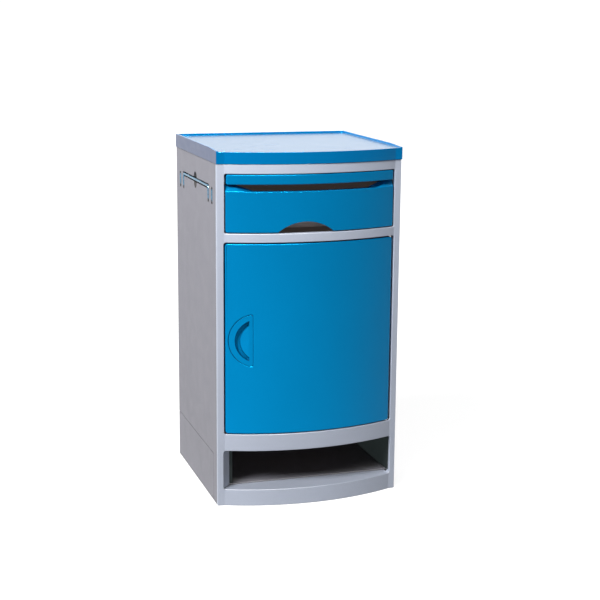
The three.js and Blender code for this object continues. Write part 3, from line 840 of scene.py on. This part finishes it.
def side_panel(sign, name):
    """A side with the towel rail's grooves, its tunnels to the pivots and the finger hollow."""
    outline = [
        (SIDE["front"], 0),
        (BASE_FRONT - SEAM, 0),
        (BASE_FRONT - SEAM, BASE_TOP + SEAM),
        (SIDE["back"], BASE_TOP + SEAM),
        (SIDE["back"], SIDE_TOP),
        (SIDE["front"], SIDE_TOP),
    ]
    panel = prism(name, outline, "x", *side_span(sign, SIDE["outer"], SIDE["inner"]))
    band_x = side_span(sign, SIDE["outer"], BAND["inner"])
    band_y = (RAIL["y"] - BAND["half"], RAIL["y"] + BAND["half"])
    join(panel, block("band", band_x, band_y, (BAND["bottom"], BAND["top"])))
    floor = SIDE["outer"] - GROOVE["depth"]
    face = SIDE["outer"] + PAST
    half, bottom = GROOVE["half"], GROOVE["bottom"]
    bar = groove(sign, 0, RAIL["inner"], RAIL["bar"] - half, GROOVE["top"], face, floor)
    cuts = []
    for end in (-1, 1):
        middle = end * (RAIL["inner"] + RAIL["outer"]) / 2
        reach = (RAIL["outer"] - RAIL["inner"]) / 2 + half
        cuts += [
            groove(sign, end * RAIL["outer"], half, bottom, GROOVE["outer_top"], face, floor),
            groove(sign, end * RAIL["inner"], half, bottom, GROOVE["top"], face, floor),
            groove(sign, middle, reach, bottom, RAIL["pivot"] + half, SIDE["outer"] - SKIN, floor - PAST),
        ]
    cut(panel, finger_dish(sign), join(bar, *cuts))
    smooth(round_edges(panel, ROUNDING["side"], angle=40))
    add(panel, "carcass", "grey_plastic", GREY, name)
    panel.data.materials.append(GROOVE_SHADE)
    panel.data.materials.append(DISH_SHADE)
    # Painted shade: faces sunk in the rail's grooves get the groove shade, and the finger hollow's curved
    # faces the darker dish shade.
    for face in panel.data.polygons:
        depth = SIDE["outer"] - abs(face.center.x)
        beside = abs(face.center.y - RAIL["y"]) < RAIL["outer"] + 2 * GROOVE["half"]
        level = GROOVE["bottom"] - PAST < face.center.z < GROOVE["top"] + PAST
        flat = max(abs(part) for part in face.normal) > 0.999
        sunk = GAP < depth < FINGER["depth"] + PAST
        if sunk and beside and level and flat:
            face.material_index = 1
        elif sunk and abs(face.center.y - FINGER["y"]) < FINGER["half_width"] and not flat:
            face.material_index = 2


def bent_path(corners, radius):
    """A line through corners, with a round bend at each."""
    steps = 8
    path = [corners[0]]
    for before, corner, after in zip(corners, corners[1:], corners[2:]):
        shorter = min((corner - before).length, (after - corner).length)
        bend_length = min(radius, TIGHTEST_BEND * shorter)
        start = corner + (before - corner).normalized() * bend_length
        end = corner + (after - corner).normalized() * bend_length
        for i in range(steps + 1):
            t = i / steps
            path.append((1 - t) ** 2 * start + 2 * t * (1 - t) * corner + t**2 * end)
    return path + [corners[-1]]


def towel_rail(sign, side_name):
    """The folding rod, whose ends dip behind the panel's skin to its pivots."""
    near, deep = ROD["depth"], ROD["pivot_depth"]
    outer, inner, pivot = RAIL["outer"], RAIL["inner"], RAIL["pivot"]
    half = [
        (near, outer, RAIL["tip"]),
        (near, outer, pivot + ROD["dip"]),
        (deep, outer, pivot),
        (deep, inner, pivot),
        (near, inner, pivot + ROD["dip"]),
        (near, inner, RAIL["bar"]),
    ]
    ends = [(depth, -y, z) for depth, y, z in half] + half[::-1]
    corners = [Vector((sign * (SIDE["outer"] - depth), RAIL["y"] + y, z)) for depth, y, z in ends]
    path = bent_path(corners, ROD["bend"])
    curve = bpy.data.curves.new(f"rod_{side_name}", "CURVE")
    curve.dimensions = "3D"
    curve.bevel_depth = ROD["radius"]
    curve.bevel_resolution = 5
    curve.use_fill_caps = True
    spline = curve.splines.new("POLY")
    spline.points.add(len(path) - 1)
    for point, place in zip(spline.points, path):
        point.co = (*place, 1)
    rod = bpy.data.objects.new(f"rod_{side_name}", curve)
    bpy.context.scene.collection.objects.link(rod)
    spline.use_smooth = True
    add(rod, f"rail_{side_name}", "polished_rod", ROD_METAL, f"towel_rail_{side_name}")


def back_screw(node):
    """A pan-head screw with a cross recess."""
    low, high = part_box(node)
    x, z = (low.x + high.x) / 2, (low.z + high.z) / 2
    seat = SIDE["back"] + GAP
    crown = high.y
    rings = [(low.y, SCREW["shank"]), (seat, SCREW["shank"])]
    rings += [(seat + rise * (crown - seat), width * SCREW["head"]) for rise, width in SCREW_CROWN]
    mesh = bmesh.new()
    loops = []
    for y, radius in rings:
        circle = arc(x, z, radius, 0, 360, ROUND_STEPS)[:-1]
        loops.append([mesh.verts.new((a, y, b)) for a, b in circle])
    for near, far in zip(loops, loops[1:]):
        for i in range(ROUND_STEPS):
            j = (i + 1) % ROUND_STEPS
            mesh.faces.new((near[i], near[j], far[j], far[i]))
    mesh.faces.new(loops[0])
    mesh.faces.new(loops[-1])
    bmesh.ops.recalc_face_normals(mesh, faces=mesh.faces)
    screw = link(node.removeprefix("back_"), mesh)
    slot, reach = SCREW["slot"], SCREW_SLOT_REACH * SCREW["head"]
    depth = (crown - SCREW["slot_depth"], crown + PAST)
    for across, up in ((reach, slot), (slot, reach)):
        cut(screw, block("slot", (x - across, x + across), depth, (z - up, z + up)))
    smooth(round_edges(screw, ROUNDING["screw"], 2, angle=35))
    add(screw, "carcass", "bright_steel", ZINC, node)


# The board and the drawer


def board_front():
    """The blue strip along the board's front edge."""
    outline = rounded(-STRIP["half"], STRIP["half"], STRIP["bottom"], STRIP["top"], STRIP["corner"])
    strip = prism("strip", outline, "y", STRIP["face"], STRIP["back"])
    bowed(strip, ROUNDING["strip"])
    add(strip, "board", "blue_plastic", BLUE, "board_front")


def scoop():
    """The hand hollow: its end walls close in towards the foot and the back."""
    foot, tip = BEVEL["foot"], DRAWER["top"]
    per_depth = (SCOOP["back_foot"] - SCOOP["front_foot"]) / (BEVEL["back"] - DRAWER["face"])
    run = per_depth * (BEVEL["top_depth"] - DRAWER["face"])
    per_height = (SCOOP["tip"] - SCOOP["front_foot"] - run) / (tip - foot)

    def half(depth, z):
        return SCOOP["front_foot"] + per_depth * (depth - DRAWER["face"]) + per_height * (z - foot)

    def outline(depth):
        low, high = half(depth, foot), half(depth, tip + PAST)
        return [(-low, foot), (low, foot), (high, tip + PAST), (-high, tip + PAST)]

    front, back = -PAST, BEVEL["back"] + PAST
    return loft("scoop", outline(front), outline(back), "y", front, back)


def drawer_front():
    """The drawer's face, with a bevel above it, the scoop across its top and an arch in its foot."""
    face, back, top, bottom = DRAWER["face"], BEVEL["back"], DRAWER["top"], DRAWER["bottom"]
    inside = face + DRAWER["skin"]
    profile = [
        (face, bottom),
        (face, BEVEL["foot"]),
        (BEVEL["top_depth"], top),
        (back, top),
        (back, BEVEL["bottom"]),
        (inside, BEVEL["bottom"]),
        (inside, bottom + LIP),
        (BEVEL["top_depth"], bottom + LIP),
        (BEVEL["top_depth"], bottom),
    ]
    front = prism("drawer_face", profile, "x", -DRAWER["half"], DRAWER["half"])
    outline = rounded(-DRAWER["half"], DRAWER["half"], bottom, top, DRAWER["corner"])
    keep(front, prism("outline", outline, "y", -PAST, DEEP))
    radius = (ARCH["half"] ** 2 + ARCH["rise"] ** 2) / (2 * ARCH["rise"])
    turn = math.degrees(math.asin(ARCH["half"] / radius))
    curve = arc(ARCH["x"], bottom + ARCH["rise"] - radius, radius, 90 - turn, 90 + turn, ARCH["steps"])
    right, left = curve[0][0], curve[-1][0]
    arch = [(right, bottom - PAST)] + curve + [(left, bottom - PAST)]
    cut(front, scoop(), prism("arch", arch, "y", -PAST, DEEP))
    bowed(front, ROUNDING["drawer"])
    add(front, "drawer", "blue_plastic", BLUE, "drawer_front")


# The door


def door_skin():
    """The door's outer pan, with a hole for the pull and bores for the hinge pins."""
    left, right, bottom, top = (DOOR[key] for key in ("left", "right", "bottom", "top"))
    skin = prism("door_pan", rounded(left, right, bottom, top, DOOR_CORNER), "y", DOOR_FACE, DOOR_BACK)
    hollow = block(
        "hollow",
        (left + DOOR_EDGE, right - STILE),
        (DOOR_FACE + DOOR_SKIN, DOOR_BACK + PAST),
        (bottom + DOOR_EDGE, top - DOOR_EDGE),
    )
    cut(skin, hollow, prism("pull_hole", half_disc(**PULL), "y", -PAST, DEEP))
    round_edges(skin, ROUNDING["door"])
    slice_across(skin)
    bend(skin)
    for pin in ("hinge_pin_bottom", "hinge_pin_top"):
        low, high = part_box(pin)
        x, y = (low.x + high.x) / 2, (low.y + high.y) / 2
        bore = arc(x, y, PIN_HOLE, 0, 360, ROUND_STEPS)[:-1]
        cut(skin, prism("bore", bore, "z", low.z - GAP, high.z + GAP))
    add(smooth(skin), "door", "blue_plastic", BLUE, "door_skin")


def circle_reach(circle, x, z, direction):
    """How far a circle lies from a point inside it, along a direction."""
    gap = Vector((x - circle["x"], z - circle["z"]))
    along = gap.dot(direction)
    return math.sqrt(along**2 - gap.length_squared + circle["radius"] ** 2) - along


def pull_hollow():
    """The pull's hollow: a floor that sinks away from the flat side, then a cove under the round one."""
    x, z = DISH["flat"], DISH["z"]
    mesh = bmesh.new()
    rows = []
    for i in range(DISH_RAYS + 1):
        angle = math.radians(90 + 180 * i / DISH_RAYS)
        direction = Vector((math.cos(angle), math.sin(angle)))
        crest = circle_reach(CREST, x, z, direction)
        edge = circle_reach(DISH, x, z, direction)
        sink = DISH_FLOOR * -direction.x
        places = []
        for k in range(1, DISH_FLOOR_STEPS):
            places.append((crest * k / DISH_FLOOR_STEPS, sink * k / DISH_FLOOR_STEPS))
        for share, drop in COVE:
            start = sink if share < COVE_FOOT else 0.0
            places.append((crest + (edge - crest) * share, start + (DISH_DEPTH - start) * drop))
        rows.append([(x + direction.x * r, DOOR_FACE + depth, z + direction.y * r) for r, depth in places])
    centre = mesh.verts.new((x, DOOR_FACE, z))
    lid_centre = mesh.verts.new((x, -PAST, z))
    bottom = [[mesh.verts.new(place) for place in row] for row in rows]
    lid = [mesh.verts.new((row[-1][0], -PAST, row[-1][2])) for row in rows]
    for near, far in zip(bottom, bottom[1:]):
        mesh.faces.new((centre, near[0], far[0]))
        for k in range(len(near) - 1):
            mesh.faces.new((near[k], near[k + 1], far[k + 1], far[k]))
    for i in range(DISH_RAYS):
        mesh.faces.new((lid_centre, lid[i], lid[i + 1]))
        mesh.faces.new((bottom[i][-1], lid[i], lid[i + 1], bottom[i + 1][-1]))
    mesh.faces.new([lid_centre, centre] + bottom[0] + [lid[0]])
    mesh.faces.new([lid_centre, centre] + bottom[-1] + [lid[-1]])
    bmesh.ops.recalc_face_normals(mesh, faces=mesh.faces)
    return link("hollow", mesh)


def door_pull():
    """The insert in the door, flush with its face."""
    outline = half_disc(PULL["x"], PULL["z"], PULL["radius"] - GAP, PULL["flat"] - GAP, PULL["corner"])
    insert = prism("pull", outline, "y", DOOR_FACE, PULL_BACK)
    cut(insert, pull_hollow())
    bowed(insert, ROUNDING["pull"])
    add(insert, "door", "blue_plastic", PULL_BLUE, "door_pull")


# Pieces that keep their CAD shape


def dress(node, material):
    """A CAD node with welded corners, rounded edges and its material."""
    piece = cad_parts[node]
    piece.data.materials.clear()
    piece.data.materials.append(material)
    piece.modifiers.new("weld", "WELD").merge_threshold = 1e-5
    flat = piece.modifiers.new("flat faces", "DECIMATE")
    flat.decimate_type = "DISSOLVE"
    flat.angle_limit = math.radians(0.4)
    rounding = piece.modifiers.new("round", "BEVEL")
    rounding.width = ROUNDING["cad"]
    rounding.segments = 2
    rounding.limit_method = "ANGLE"
    rounding.angle_limit = math.radians(30)
    piece.data.polygons.foreach_set("use_smooth", [True] * len(piece.data.polygons))
    piece.modifiers.new("even normals", "WEIGHTED_NORMAL")


PAIRED = ["shelf_ledge", "drawer_runner", "board_runner", "rail_clip_front", "rail_clip_back"]
DRESSED = {
    GREY: ["base_moulding", "bay_floor", "back_panel", "board"],
    TRAY: ["drawer_tub"],
    BAY_SHADE: ["bay_wall_left", "bay_wall_right"],
    INNER: ["cupboard_floor", "drawer_deck", "cupboard_shelf", "door_liner", "door_catch"]
    + [f"{name}_{side}" for name in PAIRED for side in ("left", "right")],
    ZINC: ["catch_strike", "hinge_pin_bottom", "hinge_pin_top"],
}

bpy.context.scene.view_settings.view_transform = "Standard"
place_camera()
place_lights()
place_world()
place_floor()
top_shell()
front_frame()
for sign, side_name in ((-1, "left"), (1, "right")):
    side_panel(sign, f"side_panel_{side_name}")
    towel_rail(sign, side_name)
    for number in (1, 2, 3):
        back_screw(f"back_screw_{side_name}_{number}")
board_front()
drawer_front()
door_skin()
door_pull()
for material, nodes in DRESSED.items():
    for node in nodes:
        dress(node, material)

bpy.context.view_layer.update()
